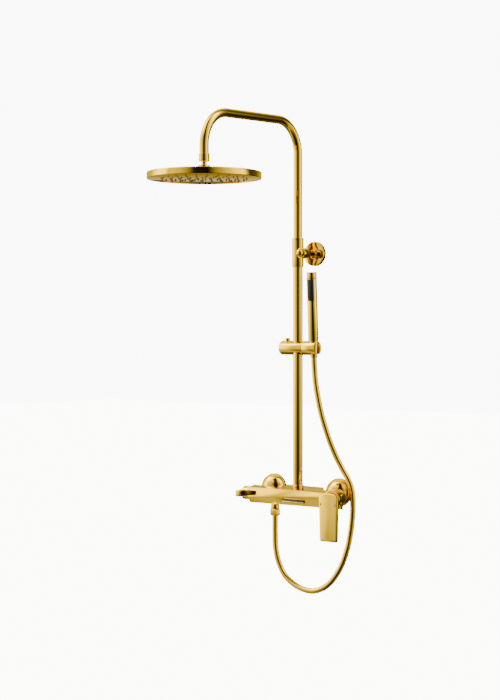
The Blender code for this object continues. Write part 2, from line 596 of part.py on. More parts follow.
def build_slider(swivel, press):
    centre = (0, RISER_Y, SLIDER_Z)
    radius = SLIDER_OD / 2
    left, right = CLAMP_X
    body = [(0, left), (radius - 3.5 * MM, left), (radius - 1 * MM, left + 1 * MM), (radius, left + 3.5 * MM),
            (radius, right - 0.5 * MM), (radius - 0.5 * MM, right), (0, right)]
    clamp = make_object("slider_clamp", turned(body, 24), "polished_gold", along_x(centre), swivel)
    hold_under(drill(clamp, "cut_slider_bore", 13.35 * MM, (0, RISER_Y, SLIDER_Z - 30 * MM), (0, 0, 1),
                     60 * MM, 20),
               swivel)
    hold_under(drill(clamp, "cut_button_bore", 6.4 * MM, (-30 * MM, RISER_Y, SLIDER_Z - 11 * MM), (0, 0, 1),
                     40 * MM, 14),
               swivel)
    hold_under(drill(clamp, "cut_pin_seat", 4.35 * MM, (15 * MM, RISER_Y, SLIDER_Z), (1, 0, 0), 10 * MM, 16),
               swivel)
    button = [(0, 0), (6 * MM, 0), (6 * MM, 28.5 * MM), (5.3 * MM, 29.3 * MM), (0, 29.3 * MM)]
    make_object("lock_button", turned(button, 14), "polished_gold", (-30 * MM, RISER_Y, SLIDER_Z - 6 * MM),
                press)


def build_holder(axis):
    centre = (0, RISER_Y, SLIDER_Z)
    radius = SLIDER_OD / 2
    left, right = HOLDER_X
    body = [(0, left), (radius - 0.5 * MM, left), (radius, left + 0.5 * MM), (radius, right - 1.5 * MM),
            (radius - 1.5 * MM, right), (0, right)]
    holder = make_object("shower_holder", turned(body, 24), "polished_gold", along_x(centre), axis)
    cone = make_object("cut_holder_cone", turned([(8.2 * MM, -20 * MM), (11.6 * MM, 20 * MM)], 20), None,
                       (STICK_X, RISER_Y, SLIDER_Z), axis)
    boolean(holder, cone)
    slot = make_object("cut_holder_slot", block((20 * MM, 15 * MM, 50 * MM),
                                                (STICK_X + 10 * MM, RISER_Y, SLIDER_Z)),
                       None, None, axis)
    boolean(holder, slot)
    hold_under(drill(holder, "cut_holder_pin", 4.35 * MM, (15 * MM, RISER_Y, SLIDER_Z), (1, 0, 0), 16.4 * MM,
                     16), axis)
    make_object("holder_pin", turned([(4 * MM, 0), (4 * MM, 15.4 * MM)], 16), "stainless",
                along_x((15.5 * MM, RISER_Y, SLIDER_Z)), axis)


def sector(inner, outer, low, high, half_angle, facing, steps):
    """A curved panel: part of a ring, facing a plan angle in degrees from +X."""
    bm = bmesh.new()
    rings = []
    for i in range(steps + 1):
        turn = math.radians(facing - half_angle + 2 * half_angle * i / steps)
        c, s = math.cos(turn), math.sin(turn)
        rings.append([bm.verts.new((r * c, r * s, h)) for r, h in
                      ((inner, low), (outer, low), (outer, high), (inner, high))])
    for low_ring, high_ring in zip(rings, rings[1:]):
        join_rings(bm, low_ring, high_ring)
    for ring in (rings[0], rings[-1]):
        bm.faces.new(ring)
    return bm


def build_hand_shower(axis):
    place = (STICK_X, RISER_Y, 0)
    radius = STICK_OD / 2
    low, high = STICK_Z
    panel = (high - 50 * MM, high - 0.5 * MM)
    facing = -90 + 15
    stick = pipe("hand_shower_body", radius, 9.6 * MM, low, high, "polished_gold", place, axis, 24)
    window = make_object("cut_spray_window", sector(8 * MM, 14 * MM, panel[0] - GAP, high + 1 * MM, 43,
                                                    facing, 8),
                         None, place, axis)
    boolean(stick, window)
    make_object("spray_panel", sector(9.8 * MM, radius + 0.1 * MM, *panel, 41, facing, 8), "black_rubber",
                place, axis)
    top = STICK_TOP
    cap = [(0, high + 5 * MM), (9.2 * MM, high + 5 * MM), (9.2 * MM, high + GAP), (radius, high + GAP),
           (radius, top - 2 * MM), (radius - 2 * MM, top), (0, top)]
    make_object("hand_shower_cap", turned(cap, 24), "polished_gold", place, axis)
    cone = [(5 * MM, 311 * MM), (8 * MM, 311 * MM), (8.1 * MM, 315.5 * MM), (10.8 * MM, 348.5 * MM),
            (10.8 * MM, 349.1 * MM), (9.2 * MM, 349.1 * MM), (9.2 * MM, 358 * MM), (5 * MM, 358 * MM)]
    make_object("hose_cone", turned(cone, 20, closed=True), "polished_gold", place, axis)


# ---------------------------------------------------------------- outlet and hose

def build_outlet():
    spot = (OUTLET_X, OUTLET_Y, 0)
    nut_low, nut_high = HOSE_NUT_Z
    nipple = [(5.5 * MM, nut_low + 4.5 * MM), (8 * MM, nut_low + 4.5 * MM), (8 * MM, nut_high + 0.4 * MM),
              (10.1 * MM, nut_high + 0.4 * MM), (10.1 * MM, -35.7 * MM), (7.6 * MM, -35.7 * MM), (7.6 * MM,
                                                                                                  -22 * MM),
              (5.5 * MM, -22 * MM)]
    make_object("outlet_nipple", turned(nipple, 16, closed=True), "polished_gold", spot)
    nut = [(5 * MM, nut_low), (11.2 * MM, nut_low), (13.4 * MM, nut_low + 2.4 * MM),
           (13.4 * MM, nut_high - 0.8 * MM),
           (12.6 * MM, nut_high), (9.7 * MM, nut_high), (9.7 * MM, nut_low + 4 * MM), (5 * MM,
                                                                                       nut_low + 4 * MM)]
    make_object("hose_nut", turned(nut, 6, closed=True), "polished_gold",
                Matrix.Translation(Vector(spot)) @ Matrix.Rotation(math.radians(10), 4, "Z"), smooth=False)


def smooth_route(route, count):
    """Evenly spaced points on a Catmull-Rom curve through the route."""
    pts = [Vector(p) * MM for p in route]
    pts = [2 * pts[0] - pts[1]] + pts + [2 * pts[-1] - pts[-2]]
    fine = []
    for a, b, c, d in zip(pts, pts[1:], pts[2:], pts[3:]):
        for i in range(24):
            t = i / 24
            fine.append(0.5 * (2 * b + (c - a) * t + (2 * a - 5 * b + 4 * c - d) * t ** 2
                               + (3 * b - a - 3 * c + d) * t ** 3))
    fine.append(pts[-2])
    run = [0.0]
    for a, b in zip(fine, fine[1:]):
        run.append(run[-1] + (b - a).length)
    even, k = [], 0
    for i in range(count):
        goal = run[-1] * i / (count - 1)
        while k < len(fine) - 2 and run[k + 1] < goal:
            k += 1
        t = (goal - run[k]) / (run[k + 1] - run[k])
        even.append(fine[k].lerp(fine[k + 1], t))
    return even


def build_hose():
    curve = bpy.data.curves.new("shower_hose", "CURVE")
    curve.dimensions = "3D"
    curve.bevel_depth = HOSE_OD / 2
    curve.bevel_resolution = 1
    curve.use_fill_caps = True
    route = smooth_route(HOSE_ROUTE, 34)
    spline = curve.splines.new("POLY")
    spline.points.add(len(route) - 1)
    for point, place in zip(spline.points, route):
        point.co = (*place, 1)
    curve.materials.append(finish_material("gold_hose"))
    hose = bpy.data.objects.new("shower_hose", curve)
    bpy.context.collection.objects.link(hose)


def main():
    clear_scene()
    build_mixer_body()
    build_waterfall_lip()
    build_mixer_inside()
    for side, label in ((-1, "left"), (1, "right")):
        build_inlet(side, label)
    build_riser()
    build_bracket()
    rose_y = RISER_Y - ARM_REACH
    build_arm(make_empty("arm_axis", (0, RISER_Y, COUPLING_Z[1])))
    build_rose(make_empty("rose_pivot", (0, rose_y, BALL_Z)))
    build_lever(make_empty("lever_swing_axis", (LEVER_X, -55 * MM, LEVER_AXIS_Z)),
                make_empty("lever_lift_axis", (LEVER_X, -55 * MM, LEVER_AXIS_Z)))
    build_diverter(make_empty("diverter_axis", (BODY_X[0], KNOB_Y, KNOB_Z)))
    pipe("slider_bush", 13 * MM, LOWER_OD / 2 + GAP, SLIDER_Z - 9.5 * MM, SLIDER_Z + 9.5 * MM,
         "white_polymer", (0, RISER_Y, 0), sides=20)
    build_slider(make_empty("slider_axis", (0, RISER_Y, SLIDER_Z)),
                 make_empty("button_axis", (-30 * MM, RISER_Y, SLIDER_Z)))
    tilt = make_empty("holder_axis", (HOLDER_X[0], RISER_Y, SLIDER_Z))
    build_holder(tilt)
    build_hand_shower(tilt)
    tilt.rotation_euler.x = STICK_TILT
    build_outlet()
    build_hose()


main()
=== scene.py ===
"""Looks for the gold shower column: polished brass, rubber sprays, hose and studio light.

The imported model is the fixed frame. Fine pieces stand for its coarse ones and ride on the same
bodies; what is already the right shape keeps its mesh and gets a finish. Metres, +Z up.
"""
import json
import math

import bpy
from mathutils import Matrix, Vector


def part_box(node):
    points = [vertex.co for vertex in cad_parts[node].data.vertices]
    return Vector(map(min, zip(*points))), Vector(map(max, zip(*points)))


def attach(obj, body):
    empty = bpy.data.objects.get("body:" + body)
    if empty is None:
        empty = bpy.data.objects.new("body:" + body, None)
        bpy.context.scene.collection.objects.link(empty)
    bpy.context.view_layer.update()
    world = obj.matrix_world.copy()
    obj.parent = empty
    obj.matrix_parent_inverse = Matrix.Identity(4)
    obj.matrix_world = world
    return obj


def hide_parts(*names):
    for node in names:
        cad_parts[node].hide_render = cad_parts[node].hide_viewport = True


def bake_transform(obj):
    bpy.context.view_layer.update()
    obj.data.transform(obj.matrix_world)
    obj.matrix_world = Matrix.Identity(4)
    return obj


MM = 0.001
QUARTER = math.radians(90)

# Axes and driving sizes, as the frame has them
RISER = Vector((0, -38 * MM, 0))
BRACKET = Vector((25 * MM, 0, 551 * MM))
ROSE = Vector((0, -374 * MM, 0))
BALL_Z = 741 * MM
SLIDER_Z = 332 * MM
STICK = Vector((45.5 * MM, -38 * MM, 0))
STICK_TILT = math.radians(2.8)
LEVER = Vector((118 * MM, 0, -8 * MM))
KNOB = Vector((-134.35 * MM, -44 * MM, -14 * MM))
OUTLET = Vector((-63 * MM, -43 * MM, 0))
COVER_X = 94 * MM
COUPLING_TOP = 587.5            # mm
ARM_DROOP = math.radians(1.5)

HOSE_DIAMETER = 13.6 * MM
HOSE_ROUTE = (
    (-63, -43, -62), (-63, -43, -80), (-63, -43, -100), (-61.5, -43, -135), (-53, -42, -171),
    (-32, -40, -204), (4, -37, -225), (44, -33, -229), (81, -28, -210), (109, -22, -171),
    (124, -17, -129), (131, -13, -92), (135, -11, -55), (136.5, -11, -24), (134.5, -11.5, 5),
    (125, -12.5, 31), (109, -15, 57), (92, -20, 90), (75, -27, 137), (61, -33, 190),
    (50.5, -36, 246), (46.3, -35.7, 282), (45.5, -37, 310.2),
)

NOZZLE_RINGS = ((16, 6), (35, 12), (54, 16), (73, 20), (92, 24))    # radius in mm, count

PANEL_LIGHT = 0.80              # how bright the panels round the column are
BACKDROP = 10.0                 # brightness of the plain white backdrop
PANEL_TINT = (1.0, 0.94, 0.60, 1)
FLOOR_Z = -1.15
# Brightness of the studio round the column: degrees to the right of straight out, level
STUDIO_BANDS = ((-180, 0.6), (-150, 1.1), (-120, 1.1), (-89, 1.5), (-62, 6.0), (-45, 4.6), (-36, 1.75),
                (-25, 1.8), (-10, 1.4), (5, 0.75), (15, 0.25), (20, 0.03), (48, 0.01), (54, 0.15),
                (62, 0.5), (76, 1.0), (91, 1.8), (107, 3.2), (126, 4.0), (136, 1.0), (143, 0.12),
                (152, 0.1), (170, 0.2), (180, 0.6))
# The same by height: sine of the angle above level, share of the band's brightness
STUDIO_HEIGHTS = ((-1.0, 0.25), (-0.5, 0.16), (-0.2, 0.55), (0.0, 1.0), (0.45, 0.9), (0.75, 2.4),
                  (1.0, 1.0))
BAND_PEAK = max(level for _, level in STUDIO_BANDS)
HEIGHT_PEAK = max(level for _, level in STUDIO_HEIGHTS)

CAMERA_PLACE = (2.094, -2.830, 0.383)
CAMERA_TURN = math.radians(38.7)
CAMERA_LENS = 77.14
CAMERA_SHIFT = -0.0343

OUT = (QUARTER, 0, 0)           # lays a turned piece's +Z along -Y, away from the wall
RIGHT = (0, QUARTER, 0)         # lays a turned piece's +Z along +X
LEFT = (0, -QUARTER, 0)         # lays a turned piece's +Z along -X
FULL_TURN = 2 * math.pi
WELD = 1e-6                     # points closer than this become one


# ---------------------------------------------------------------- modelling

def edit():
    bpy.ops.object.mode_set(mode="EDIT")
    bpy.ops.mesh.select_all(action="SELECT")


def finish_edit():
    bpy.ops.object.mode_set(mode="OBJECT")


def pick(obj):
    """Make one object the only selected and active one."""
    bpy.ops.object.select_all(action="DESELECT")
    obj.select_set(True)
    bpy.context.view_layer.objects.active = obj


def applied(obj, name, kind, **values):
    mod = obj.modifiers.new(name, kind)
    for key, value in values.items():
        setattr(mod, key, value)
    pick(obj)
    bpy.ops.object.modifier_apply(modifier=mod.name)


def soften(obj, width, segments=3):
    """Round the hard edges and shade the rest smooth."""
    if width:
        applied(obj, "Rounding", "BEVEL", width=width, segments=segments, limit_method="ANGLE",
                angle_limit=math.radians(28), use_clamp_overlap=True)
    pick(obj)
    bpy.ops.object.shade_smooth_by_angle(angle=math.radians(35))


def settle_in_place(obj):
    """Take a piece's place, turn and size into its mesh."""
    pick(obj)
    bpy.ops.object.transform_apply(location=True, rotation=True, scale=True)


def settle(obj, at, lean):
    obj.location = at
    obj.rotation_euler = lean
    settle_in_place(obj)


def spun(name, outline, at, lean=(0, 0, 0), steps=72, edge=0.4 * MM, angle=FULL_TURN):
    """Turn a closed outline of (radius, height) in mm round its axis, as on a lathe."""
    points = [(r * MM, h * MM) for r, h in outline]
    if outline[0][0] > 0 or outline[-1][0] > 0:
        points.append(points[0])
    bpy.ops.object.select_all(action="DESELECT")
    bpy.ops.mesh.primitive_plane_add(size=MM)
    obj = bpy.context.object
    obj.name = name
    edit()
    bpy.ops.mesh.merge(type="CENTER")
    bpy.ops.transform.translate(value=(points[0][0], 0, points[0][1]))
    for (r0, h0), (r1, h1) in zip(points, points[1:]):
        bpy.ops.mesh.extrude_region_move(TRANSFORM_OT_translate={"value": (r1 - r0, 0, h1 - h0)})
    bpy.ops.mesh.select_all(action="SELECT")
    bpy.ops.mesh.remove_doubles(threshold=WELD)
    finish_edit()
    applied(obj, "Lathe", "SCREW", axis="Z", angle=angle, steps=steps, render_steps=steps,
            use_merge_vertices=True, merge_threshold=WELD)
    edit()
    bpy.ops.mesh.remove_doubles(threshold=WELD)
    if angle < FULL_TURN:
        bpy.ops.mesh.fill_holes(sides=0)
    bpy.ops.mesh.normals_make_consistent(inside=False)
    finish_edit()
    soften(obj, edge)
    settle(obj, at, lean)
    return obj


def slab(name, size, at, edge, segments=4):
    """A block with rounded edges."""
    bpy.ops.object.select_all(action="DESELECT")
    bpy.ops.mesh.primitive_cube_add(size=1, location=at, scale=[s * MM for s in size])
    obj = bpy.context.object
    obj.name = name
    settle_in_place(obj)
    soften(obj, edge * MM, segments)
    return obj


def cut(obj, tool):
    """Take the tool's shape out of a piece and throw the tool away."""
    applied(obj, "Cut", "BOOLEAN", object=tool, operation="DIFFERENCE", solver="EXACT")
    bpy.data.objects.remove(tool, do_unlink=True)


def bore(obj, radius, at, length, lean=(0, 0, 0)):
    cut(obj, spun("bore_tool", [(0, 0), (radius, 0), (radius, length), (0, length)], at, lean, edge=0))


def pipe_along(name, points, radius, sides=10):
    """A solid round bar along points, closed at both ends."""
    curve = bpy.data.curves.new(name, "CURVE")
    curve.dimensions = "3D"
    curve.bevel_depth = radius
    curve.bevel_resolution = sides
    curve.use_fill_caps = True
    line = curve.splines.new("POLY")
    line.points.add(len(points) - 1)
    for knot, point in zip(line.points, points):
        knot.co = (*point, 1)
    obj = bpy.data.objects.new(name, curve)
    bpy.context.collection.objects.link(obj)
    pick(obj)
    bpy.ops.object.convert(target="MESH")
    obj = bpy.context.object
    edit()
    bpy.ops.mesh.normals_make_consistent(inside=False)
    finish_edit()
    soften(obj, 0)
    return obj


def refined(name, node, width):
    """A copy of a frame node with its loose triangles merged and its edges rounded."""
    obj = bpy.data.objects.new(name, frame["nodes"][node].data.copy())
    bpy.context.collection.objects.link(obj)
    obj.data.materials.clear()
    pick(obj)
    edit()
    bpy.ops.mesh.remove_doubles(threshold=WELD)
    bpy.ops.mesh.dissolve_limited(angle_limit=math.radians(2))
    finish_edit()
    soften(obj, width, 3)
    return obj


def install(obj, body, nodes, material):
    """Finish a piece: its material, the body it rides on and the nodes it stands for."""
    obj.data.materials.clear()
    obj.data.materials.append(material)
    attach(obj, body)
    if nodes:
        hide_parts(*nodes)
    return obj


# ---------------------------------------------------------------- finishes

def surface_group():
    """Shared surface wear: slow tone change, fine wiping marks and a few specks of dried water."""
    group = bpy.data.node_groups.new("surface_wear", "ShaderNodeTree")
    face = group.interface
    for socket, value in (("Scale", 40.0), ("Marks", 0.5)):
        item = face.new_socket(name=socket, in_out="INPUT", socket_type="NodeSocketFloat")
        item.default_value = value
    for socket in ("Tone", "Wiping", "Specks"):
        face.new_socket(name=socket, in_out="OUTPUT", socket_type="NodeSocketFloat")
    nodes, links = group.nodes, group.links
    given, result = nodes.new("NodeGroupInput"), nodes.new("NodeGroupOutput")
    place = nodes.new("ShaderNodeTexCoord")

    tone = nodes.new("ShaderNodeTexNoise")
    tone.inputs["Detail"].default_value = 3
    links.new(place.outputs["Object"], tone.inputs["Vector"])
    links.new(given.outputs["Scale"], tone.inputs["Scale"])
    links.new(tone.outputs["Fac"], result.inputs["Tone"])

    stretch = nodes.new("ShaderNodeMapping")
    stretch.inputs["Scale"].default_value = (1, 1, 14)
    stretch.inputs["Rotation"].default_value = (0.5, 0.2, 0.4)
    marks = nodes.new("ShaderNodeTexNoise")
    marks.inputs["Scale"].default_value = 260
    marks.inputs["Detail"].default_value = 5
    fade = nodes.new("ShaderNodeMath")
    fade.operation = "MULTIPLY"
    links.new(place.outputs["Object"], stretch.inputs["Vector"])
    links.new(stretch.outputs["Vector"], marks.inputs["Vector"])
    links.new(marks.outputs["Fac"], fade.inputs[0])
    links.new(given.outputs["Marks"], fade.inputs[1])
    links.new(fade.outputs["Value"], result.inputs["Wiping"])

    specks = nodes.new("ShaderNodeTexVoronoi")
    specks.inputs["Scale"].default_value = 150
    near = nodes.new("ShaderNodeMapRange")
    near.inputs["From Min"].default_value = 0.09
    near.inputs["From Max"].default_value = 0.03
    links.new(place.outputs["Object"], specks.inputs["Vector"])
    links.new(specks.outputs["Distance"], near.inputs["Value"])
    links.new(near.outputs["Result"], result.inputs["Specks"])
    return group


def worn_material(name, light, dark, metallic, smooth, rough, scale, bump, coat):
    """A procedural finish between two tones and two roughnesses."""
    mat = bpy.data.materials.new(name)
    mat.use_nodes = True
    nodes, links = mat.node_tree.nodes, mat.node_tree.links
    shader = nodes["Principled BSDF"]
    shader.inputs["Metallic"].default_value = metallic
    shader.inputs["Coat Weight"].default_value = coat
    if metallic:
        shader.inputs["Specular Tint"].default_value = (1.0, 0.82, 0.30, 1)
    wear = nodes.new("ShaderNodeGroup")
    wear.node_tree = bpy.data.node_groups["surface_wear"]
    wear.inputs["Scale"].default_value = scale
    colour = nodes.new("ShaderNodeMix")
    colour.data_type = "RGBA"
    colour.inputs["A"].default_value = (*light, 1)
    colour.inputs["B"].default_value = (*dark, 1)
    links.new(wear.outputs["Tone"], colour.inputs["Factor"])
    links.new(colour.outputs["Result"], shader.inputs["Base Color"])
    spread = nodes.new("ShaderNodeMapRange")
    spread.inputs["To Min"].default_value = smooth
    spread.inputs["To Max"].default_value = rough
    blend = nodes.new("ShaderNodeMath")
    blend.operation = "ADD"
    links.new(wear.outputs["Wiping"], blend.inputs[0])
    links.new(wear.outputs["Specks"], blend.inputs[1])
    links.new(blend.outputs["Value"], spread.inputs["Value"])
    links.new(spread.outputs["Result"], shader.inputs["Roughness"])
    raise_up = nodes.new("ShaderNodeBump")
    raise_up.inputs["Strength"].default_value = bump
    raise_up.inputs["Distance"].default_value = 0.05 * MM
    links.new(wear.outputs["Wiping"], raise_up.inputs["Height"])
    links.new(raise_up.outputs["Normal"], shader.inputs["Normal"])
    return mat


# Light tone, dark tone, metallic, smoothest and roughest, scale of the tones, relief, clear coat
FINISHES = {
    "polished_gold": ((0.94, 0.625, 0.036), (0.90, 0.57, 0.025), 1, 0.035, 0.08, 9, 0.04, 0),
    "gold_hose": ((0.93, 0.61, 0.036), (0.88, 0.54, 0.025), 1, 0.09, 0.22, 20, 0.12, 0),
    "black_rubber": ((0.012, 0.012, 0.012), (0.03, 0.028, 0.026), 0, 0.4, 0.7, 90, 0.3, 0),
    "nozzle_silicone": ((0.62, 0.50, 0.26), (0.5, 0.4, 0.2), 0, 0.35, 0.55, 60, 0.2, 0),
    "seal_rubber": ((0.02, 0.02, 0.02), (0.04, 0.04, 0.04), 0, 0.5, 0.75, 60, 0.3, 0),
    "white_polymer": ((0.8, 0.8, 0.77), (0.72, 0.72, 0.68), 0, 0.35, 0.55, 40, 0.2, 0),
    "raw_brass": ((0.74, 0.52, 0.2), (0.6, 0.4, 0.14), 1, 0.25, 0.5, 70, 0.3, 0),
    "stainless": ((0.62, 0.61, 0.6), (0.5, 0.5, 0.5), 1, 0.2, 0.4, 70, 0.3, 0),
    "hot_red": ((0.6, 0.02, 0.015), (0.5, 0.015, 0.01), 0, 0.2, 0.4, 200, 0.2, 0.4),
    "cold_blue": ((0.02, 0.09, 0.5), (0.015, 0.07, 0.42), 0, 0.2, 0.4, 200, 0.2, 0.4),
}


def make_materials():
    surface_group()
    return {name: worn_material(name, *finish) for name, finish in FINISHES.items()}


# ---------------------------------------------------------------- riser, arm and bracket

def arm_line():
    """Centreline of the upper tube: straight, large bend, drooping arm, bend, short drop."""
    low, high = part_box("upper_arm_tube")
    radius = (high.x - low.x) / 2
    height, reach = 857 * MM, RISER.y - ROSE.y
    rear, front = 73 * MM, 78 * MM          # bend radii over the riser and over the rose
    steps = 24
    slope = math.tan(ARM_DROOP)
    points = [Vector((0, RISER.y, low.z)), Vector((0, RISER.y, COUPLING_TOP * MM))]

    def bend(centre_y, centre_z, size, start, end):
        for i in range(steps + 1):
            turn = math.radians(start + (end - start) * i / steps)
            points.append(Vector((0, centre_y + size * math.cos(turn), centre_z + size * math.sin(turn))))

    droop = math.degrees(ARM_DROOP)
    rear_z = height - rear * math.tan(math.radians((90 + droop) / 2))
    bend(RISER.y - rear, rear_z, rear, 0, 90 + droop)
    front_z = height - reach * slope - front * math.tan(math.radians((90 - droop) / 2))
    bend(ROSE.y + front, front_z, front, 90 + droop, 180)
    points.append(Vector((0, ROSE.y, BALL_Z + 8.6 * MM)))    # the ball turns just below
    return points, radius


def make_riser(gold):
    lower = spun("riser_tube_fine", [(10.5, -10), (11.3, -10), (11.3, 553), (10.5, 553)], RISER,
                 edge=0.2 * MM)
    install(lower, "frame", ["lower_riser_tube"], gold)
    points, radius = arm_line()
    install(pipe_along("arm_tube_fine", points, radius, 14), "arm", ["upper_arm_tube"], gold)
    sleeve = [(11.65, 520.5), (13.5, 520.5), (13.5, COUPLING_TOP), (10.5, COUPLING_TOP), (10.5, 553.4),
              (11.65, 553.4)]
    install(spun("coupling_sleeve", sleeve, RISER, edge=0.8 * MM), "frame", ["riser_coupling"], gold)
    collar = [(11.7, 6.9), (12.6, 6.9), (12.6, 13.9), (11.7, 13.9)]
    install(spun("riser_collar_fine", collar, RISER), "frame", ["riser_collar"], gold)
    web = slab("bracket_web", (10, 12, 15), (14.8 * MM, -49.5 * MM, BRACKET.z), 1.5)
    install(web, "frame", [], gold)
    boss = [(6.4, 42.5), (12, 42.5), (12, 61), (6.4, 61)]
    install(spun("bracket_boss", boss, BRACKET, OUT, edge=0.7 * MM), "frame", [], gold)


def quarter_dome(radius, base, height, steps=12):
    """Outline points of a quarter ellipse from its rim to its pole, in mm."""
    rim = [(radius * math.cos(QUARTER * i / steps), base + height * math.sin(QUARTER * i / steps))
           for i in range(steps)]
    return rim + [(0, base + height)]


def make_bracket(gold):
    rod = [(0, 9.2), (10.5, 9.2), (10.5, 10.3), (6.8, 10.9), (6.8, 33.6), (7.6, 34.2), (7.6, 36.8),
           (6, 36.8), (6, 64), (0, 64)]
    install(spun("wall_rod_fine", rod, BRACKET, OUT), "frame", ["wall_rod"], gold)
    cap = [(0, 61.4), (8.6, 61.4), (9, 61.9)] + quarter_dome(9, 65.5, 7.5)
    install(spun("rod_cap_fine", cap, BRACKET, OUT, edge=0), "frame", ["rod_cap"], gold)
    flange = [(11, 0), (28.5, 0), (28.5, 10.5), (11, 10.5)]
    install(spun("wall_flange_fine", flange, BRACKET, OUT, 96, 1.2 * MM), "frame", ["wall_flange"], gold)


def make_covers(gold):
    base, height, wall = 8.85, 25, 1.6
    outer = quarter_dome(31, base, height)
    inner = [(max(r - wall, 0), h - wall * (h - base) / height) for r, h in outer]
    ring = [(13, 0), (32.5, 0), (32.5, 8.5), (13, 8.5)]
    for side, label in ((-1, "left"), (1, "right")):
        at = (side * COVER_X, 0, 0)
        install(spun(label + "_ring_fine", ring, at, OUT, 96, 1 * MM), "frame", [label + "_wall_ring"], gold)
        dome = spun(label + "_dome_fine", outer + inner[::-1], at, OUT, 96, 0)
        install(dome, "frame", [label + "_cover_dome"], gold)


# ---------------------------------------------------------------- rose

def make_rose(materials):
    gold = materials["polished_gold"]
    shell = [(6, 714), (121, 714), (123.4, 713.2), (124, 711.5), (124, 700.4), (123.2, 699), (121, 699),
             (121, 711.8), (6, 711.8)]
    install(spun("rose_shell_fine", shell, ROSE, steps=128), "rose", ["rose_shell"], gold)
    plate = [(0, 699.6), (120.6, 699.6), (120.6, 701), (0, 701)]
    install(spun("rose_face_fine", plate, ROSE, steps=128, edge=0.3 * MM), "rose", ["rose_face_plate"], gold)
    neck = [(4.2, 733.2), (6.2, 733.2), (6.2, 730), (13, 728.6), (14, 722), (16, 718), (20, 715.2),
            (20, 714.35), (4.2, 714.35)]
    install(spun("rose_neck_fine", neck, ROSE), "rose", ["rose_neck"], gold)
    nut = [(10.45, 754), (11.8, 754), (11.8, 737), (7.4, 737), (8.9, 741), (8.9, 748), (10.45, 748)]
    install(spun("rose_nut_fine", nut, ROSE, edge=0.5 * MM), "arm", ["rose_nut"], gold)
    make_nozzles(materials)


def make_nozzles(materials):
    """Soft nozzles in rings, each a tapered tip on a small collar."""
    bpy.ops.object.select_all(action="DESELECT")
    bpy.ops.mesh.primitive_cylinder_add(vertices=64, radius=40 * MM, depth=1 * MM,
                                        location=(0, ROSE.y, 701.8 * MM))
    mat = bpy.context.object
    mat.name = "nozzle_mat_fine"
    settle_in_place(mat)
    edit()
    for ring, (radius, count) in enumerate(NOZZLE_RINGS):
        for i in range(count):
            turn = 2 * math.pi * (i + 0.5 * (ring % 2)) / count
            x, y = radius * MM * math.cos(turn), ROSE.y + radius * MM * math.sin(turn)
            bpy.ops.mesh.primitive_cone_add(vertices=14, radius1=1.3 * MM, radius2=1.9 * MM, depth=3.4 * MM,
                                            location=(x, y, 698.5 * MM))
            bpy.ops.mesh.primitive_cylinder_add(vertices=14, radius=2.6 * MM, depth=0.5 * MM,
                                                location=(x, y, 699.4 * MM))
    finish_edit()
    soften(mat, 0.15 * MM, 2)
    install(mat, "rose", ["nozzle_mat"], materials["nozzle_silicone"])


# ---------------------------------------------------------------- mixer

def make_mixer(materials):
    gold = materials["polished_gold"]
    install(refined("mixer_body_fine", "mixer_body", 0.8 * MM), "frame", ["mixer_body"], gold)
    drum = [(14, 59), (20.7, 59), (20.7, 70.2), (14, 70.2)]
    install(spun("cartridge_drum", drum, LEVER, OUT, edge=0.8 * MM), "frame", [], gold)
    install(refined("waterfall_lip_fine", "waterfall_lip", 0.3 * MM), "frame", ["waterfall_lip"], gold)
    low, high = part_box("waterfall_lip")
    middle = (low + high) / 2
    # Black block just inside the spout slot: painted shade that stands in for the dark of the open slot, not
    # a real part
    throat = ((high.x - low.x) / MM - 3.4, 12, (high.z - low.z) / MM - 3.4)
    slot_shade_block = slab("slot_painted_shade", throat, (0, low.y + 6.4 * MM, middle.z), 0.2)
    install(slot_shade_block, "frame", [], materials["black_rubber"])
    install(refined("lever_fine", "lever_handle", 1.2 * MM), "lever", ["lever_handle"], gold)


def make_knob(gold):
    hub = [(2.6, 0), (16, 0), (16, 19), (6.5, 19), (6.5, 16), (2.6, 16)]
    install(spun("knob_hub", hub, KNOB, LEFT, edge=1.2 * MM), "diverter", ["diverter_knob"], gold)
    cap = [(0, 16.3), (6.2, 16.3), (6.2, 19.6), (0, 19.6)]
    install(spun("knob_cap_fine", cap, KNOB, LEFT, edge=0.6 * MM), "diverter", ["knob_cap"], gold)
    grip = slab("knob_grip", (15, 28, 15), KNOB + Vector((-10, -26, 1.5)) * MM, 2.4)
    install(grip, "diverter", [], gold)


def make_outlet(gold):
    nipple = [(5.5, -57), (8, -57), (8, -45.6), (10.1, -45.6), (10.1, -35.7), (7.6, -35.7), (7.6, -22),
              (5.5, -22)]
    install(spun("outlet_nipple_fine", nipple, OUTLET), "frame", ["outlet_nipple"], gold)
    nut = [(5, -61.5), (11.2, -61.5), (13.4, -59.1), (13.4, -47), (12.4, -46), (9.7, -46), (9.7, -57.5),
           (5, -57.5)]
    nut_piece = spun("hose_nut_fine", nut, OUTLET, (0, 0, math.radians(10)), steps=6, edge=0.5 * MM)
    install(nut_piece, "frame", ["hose_nut"], gold)


# ---------------------------------------------------------------- slider, holder and hand shower

